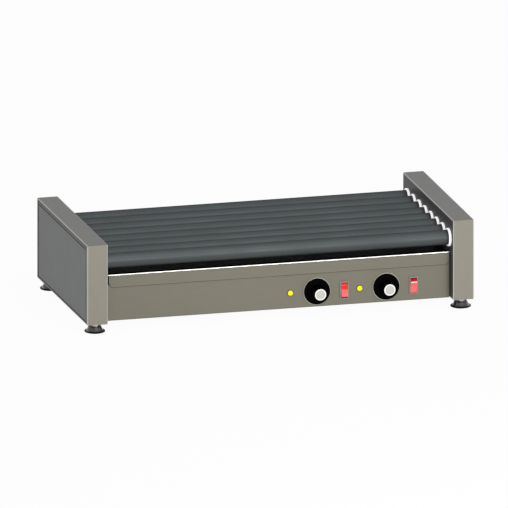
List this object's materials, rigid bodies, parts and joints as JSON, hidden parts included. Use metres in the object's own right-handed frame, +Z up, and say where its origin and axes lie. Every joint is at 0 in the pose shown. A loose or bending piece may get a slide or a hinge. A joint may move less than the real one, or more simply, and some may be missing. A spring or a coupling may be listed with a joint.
{
  "type": "hot dog roller grill",
  "caption": "Countertop electric roller grill: chain-driven heated rollers between side housings, over a pull-out drip tray, with knobs, rocker switches and lamps on its panel.",
  "frame": {"origin": "middle of the footprint, on the surface that the feet stand on", "axes": "+X to the right as seen by the person at the controls, along the rollers; +Y to the rear; +Z up"},
  "size_m": [0.67, 0.3296, 0.154],
  "materials": {
    "housing_steel": "fine brushed satin stainless sheet",
    "panel_steel": "fine brushed satin stainless sheet, a shade darker",
    "inner_steel": "plain mill finish sheet",
    "roller_steel": "satin stainless tube, darkened by heat",
    "chain_steel": "oiled steel",
    "zinc_steel": "bright zinc plate",
    "pan_coating": "black non-stick enamel, satin",
    "white_plastic": "white heat-proof fluoropolymer",
    "black_plastic": "black phenolic, satin",
    "grey_plastic": "light grey switch plastic",
    "red_plastic": "translucent red rocker plastic",
    "yellow_lens": "yellow lamp lens",
    "motor_paint": "dark satin paint",
    "heater_sheath": "dull metal-sheathed element",
    "ceramic": "glazed ceramic block"
  },
  "bodies": {
    "chassis": {"left_housing": "housing_steel", "left_side_cover": "housing_steel", "right_housing": "housing_steel", "right_side_cover": "housing_steel", "front_panel": "panel_steel", "rear_panel": "panel_steel", "bottom_plate": "inner_steel", "right_bush_1": "white_plastic", "right_bush_2": "white_plastic", "right_bush_3": "white_plastic", "right_bush_4": "white_plastic", "right_bush_5": "white_plastic", "right_bush_6": "white_plastic", "right_bush_7": "white_plastic", "right_bush_8": "white_plastic", "left_bush_strip": "white_plastic", "drive_chain": "chain_steel", "gear_motor": "motor_paint", "idler_axle": "zinc_steel", "front_heater_bank": "heater_sheath", "rear_heater_bank": "heater_sheath", "heater_end_bar": "inner_steel", "left_thermostat": "inner_steel", "left_lamp": "yellow_lens", "left_switch_housing": "grey_plastic", "right_thermostat": "inner_steel", "right_lamp": "yellow_lens", "right_switch_housing": "grey_plastic", "cable_gland": "black_plastic", "terminal_block": "ceramic"},
    "drive": {"drive_sprocket": "chain_steel", "motor_shaft": "zinc_steel"},
    "roller_1": {"roller_1": "roller_steel", "roller_sprocket_1": "chain_steel"},
    "roller_2": {"roller_2": "roller_steel", "roller_sprocket_2": "chain_steel"},
    "roller_3": {"roller_3": "roller_steel", "roller_sprocket_3": "chain_steel"},
    "roller_4": {"roller_4": "roller_steel", "roller_sprocket_4": "chain_steel"},
    "roller_5": {"roller_5": "roller_steel", "roller_sprocket_5": "chain_steel"},
    "roller_6": {"roller_6": "roller_steel", "roller_sprocket_6": "chain_steel"},
    "roller_7": {"roller_7": "roller_steel", "roller_sprocket_7": "chain_steel"},
    "roller_8": {"roller_8": "roller_steel", "roller_sprocket_8": "chain_steel"},
    "idler": {"idler_sprocket": "chain_steel"},
    "drip_tray": {"tray_apron": "panel_steel", "drip_pan": "pan_coating"},
    "left_knob": {"left_knob": "black_plastic"},
    "right_knob": {"right_knob": "black_plastic"},
    "left_rocker": {"left_rocker": "red_plastic"},
    "right_rocker": {"right_rocker": "red_plastic"},
    "left_front_foot": {"left_front_foot": "black_plastic"},
    "left_rear_foot": {"left_rear_foot": "black_plastic"},
    "right_front_foot": {"right_front_foot": "black_plastic"},
    "right_rear_foot": {"right_rear_foot": "black_plastic"}
  },
  "joints": [
    {"name": "drive_spin", "type": "hinge", "parent": "chassis", "child": "drive", "pos_m": [-0.3185, 0.0408, 0.058], "axis": [1, 0, 0], "continuous": true},
    {"name": "roller_1_spin", "type": "hinge", "parent": "chassis", "child": "roller_1", "pos_m": [0, -0.1347, 0.1196], "axis": [1, 0, 0], "continuous": true},
    {"name": "roller_2_spin", "type": "hinge", "parent": "chassis", "child": "roller_2", "pos_m": [0, -0.0967, 0.1196], "axis": [1, 0, 0], "continuous": true},
    {"name": "roller_3_spin", "type": "hinge", "parent": "chassis", "child": "roller_3", "pos_m": [0, -0.0587, 0.1196], "axis": [1, 0, 0], "continuous": true},
    {"name": "roller_4_spin", "type": "hinge", "parent": "chassis", "child": "roller_4", "pos_m": [0, -0.0207, 0.1196], "axis": [1, 0, 0], "continuous": true},
    {"name": "roller_5_spin", "type": "hinge", "parent": "chassis", "child": "roller_5", "pos_m": [0, 0.0173, 0.1196], "axis": [1, 0, 0], "continuous": true},
    {"name": "roller_6_spin", "type": "hinge", "parent": "chassis", "child": "roller_6", "pos_m": [0, 0.0553, 0.1196], "axis": [1, 0, 0], "continuous": true},
    {"name": "roller_7_spin", "type": "hinge", "parent": "chassis", "child": "roller_7", "pos_m": [0, 0.0933, 0.1196], "axis": [1, 0, 0], "continuous": true},
    {"name": "roller_8_spin", "type": "hinge", "parent": "chassis", "child": "roller_8", "pos_m": [0, 0.1313, 0.1196], "axis": [1, 0, 0], "continuous": true},
    {"name": "idler_spin", "type": "hinge", "parent": "chassis", "child": "idler", "pos_m": [-0.3185, -0.0592, 0.072], "axis": [1, 0, 0], "continuous": true},
    {"name": "drip_tray_slide", "type": "slide", "parent": "chassis", "child": "drip_tray", "axis": [0, -1, 0], "range_m": [0, 0.25]},
    {"name": "left_knob_turn", "type": "hinge", "parent": "chassis", "child": "left_knob", "pos_m": [0.068, -0.1492, 0.043], "axis": [0, 1, 0], "range_deg": [0, 270]},
    {"name": "right_knob_turn", "type": "hinge", "parent": "chassis", "child": "right_knob", "pos_m": [0.188, -0.1492, 0.043], "axis": [0, 1, 0], "range_deg": [0, 270]},
    {"name": "left_rocker_tilt", "type": "hinge", "parent": "chassis", "child": "left_rocker", "pos_m": [0.1157, -0.1362, 0.0415], "axis": [1, 0, 0], "range_deg": [0, 20]},
    {"name": "right_rocker_tilt", "type": "hinge", "parent": "chassis", "child": "right_rocker", "pos_m": [0.2357, -0.1362, 0.0415], "axis": [1, 0, 0], "range_deg": [-20, 0]},
    {"name": "left_front_foot_height", "type": "slide", "parent": "chassis", "child": "left_front_foot", "axis": [0, 0, -1], "range_m": [0, 0.01]},
    {"name": "left_rear_foot_height", "type": "slide", "parent": "chassis", "child": "left_rear_foot", "axis": [0, 0, -1], "range_m": [0, 0.01]},
    {"name": "right_front_foot_height", "type": "slide", "parent": "chassis", "child": "right_front_foot", "axis": [0, 0, -1], "range_m": [0, 0.01]},
    {"name": "right_rear_foot_height", "type": "slide", "parent": "chassis", "child": "right_rear_foot", "axis": [0, 0, -1], "range_m": [0, 0.01]}
  ],
  "couplings": [
    {"joint": "roller_1_spin", "follows": "drive_spin", "ratio": 1},
    {"joint": "roller_2_spin", "follows": "drive_spin", "ratio": 1},
    {"joint": "roller_3_spin", "follows": "drive_spin", "ratio": 1},
    {"joint": "roller_4_spin", "follows": "drive_spin", "ratio": 1},
    {"joint": "roller_5_spin", "follows": "drive_spin", "ratio": 1},
    {"joint": "roller_6_spin", "follows": "drive_spin", "ratio": 1},
    {"joint": "roller_7_spin", "follows": "drive_spin", "ratio": 1},
    {"joint": "roller_8_spin", "follows": "drive_spin", "ratio": 1},
    {"joint": "idler_spin", "follows": "drive_spin", "ratio": 1}
  ]
}
